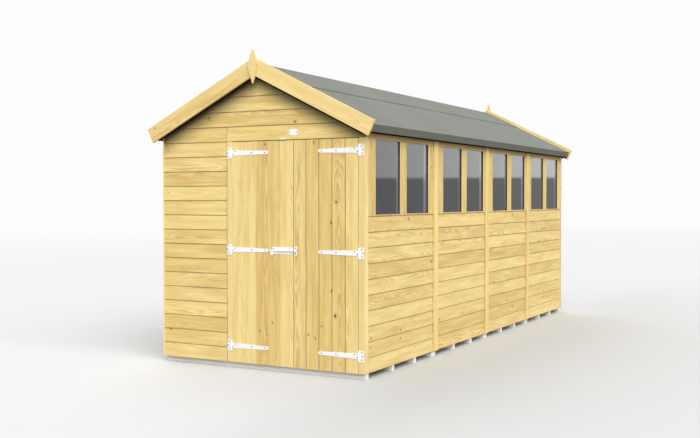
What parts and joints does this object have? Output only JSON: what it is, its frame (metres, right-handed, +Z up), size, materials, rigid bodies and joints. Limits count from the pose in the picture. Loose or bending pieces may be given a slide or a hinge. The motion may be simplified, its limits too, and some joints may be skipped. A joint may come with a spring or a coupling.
{
  "type": "garden shed",
  "caption": "Apex garden shed of lapped boards on framed panels, with braced doors that bolt together, a wall of windows, a felt roof, barge boards and finials.",
  "frame": {"origin": "middle of the plan, on the ground under the floor bearers", "axes": "+X across to the window wall, +Y from the doors to the back wall, +Z up"},
  "size_m": [2.0138, 4.959, 2.394],
  "materials": {
    "pine_boards": "planed, pale yellow pine",
    "frame_timber": "planed framing",
    "deck_boards": "plain sheathing",
    "bearers": "sawn, pale grey",
    "roofing_felt": "fine mineral felt",
    "white_metal": "satin white",
    "button_metal": "satin",
    "window_glass": "clear"
  },
  "bodies": {
    "shed": {"back_cladding": "pine_boards", "back_frame": "frame_timber", "blank_plate": "white_metal", "button_screw": "white_metal", "collar_ties": "frame_timber", "cover_strips": "pine_boards", "door_posts": "pine_boards", "eaves_battens": "frame_timber", "felt_fascias": "roofing_felt", "finials": "pine_boards", "floor_bearers": "bearers", "floor_panels": "deck_boards", "front_cladding": "pine_boards", "front_frame": "frame_timber", "front_gable": "pine_boards", "hinge_plates": "white_metal", "left_barge_boards": "pine_boards", "left_cladding": "pine_boards", "left_felt": "roofing_felt", "left_ridge_felt": "roofing_felt", "left_roof_boards": "deck_boards", "purlins": "frame_timber", "rafters": "frame_timber", "ridge_beam": "frame_timber", "right_barge_boards": "pine_boards", "right_cladding": "pine_boards", "right_felt": "roofing_felt", "right_ridge_felt": "roofing_felt", "right_roof_boards": "deck_boards", "side_wall_rails": "frame_timber", "side_wall_studs": "frame_timber", "window_panes": "window_glass", "window_rails": "pine_boards", "window_uprights": "pine_boards"},
    "left_door": {"left_door_boards": "pine_boards", "left_door_ledges": "frame_timber", "left_hinge_straps": "white_metal", "bolt_plate": "white_metal"},
    "right_door": {"right_door_boards": "pine_boards", "right_door_ledges": "frame_timber", "right_hinge_straps": "white_metal", "bolt_keep": "white_metal"},
    "bolt": {"bolt_bar": "white_metal"},
    "button": {"turn_button": "button_metal"}
  },
  "joints": [
    {"name": "left_door_hinge", "type": "hinge", "parent": "shed", "child": "left_door", "pos_m": [-0.2425, -2.4085, 0.9], "axis": [0, 0, -1], "range_deg": [0, 165]},
    {"name": "right_door_hinge", "type": "hinge", "parent": "shed", "child": "right_door", "pos_m": [0.8525, -2.4085, 0.9], "axis": [0, 0, 1], "range_deg": [0, 165]},
    {"name": "bolt_slide", "type": "slide", "parent": "left_door", "child": "bolt", "axis": [1, 0, 0], "range_m": [0, 0.044]},
    {"name": "button_pivot", "type": "hinge", "parent": "shed", "child": "button", "pos_m": [0.226, -2.4115, 1.727], "axis": [0, 1, 0], "range_deg": [0, 90]}
  ]
}
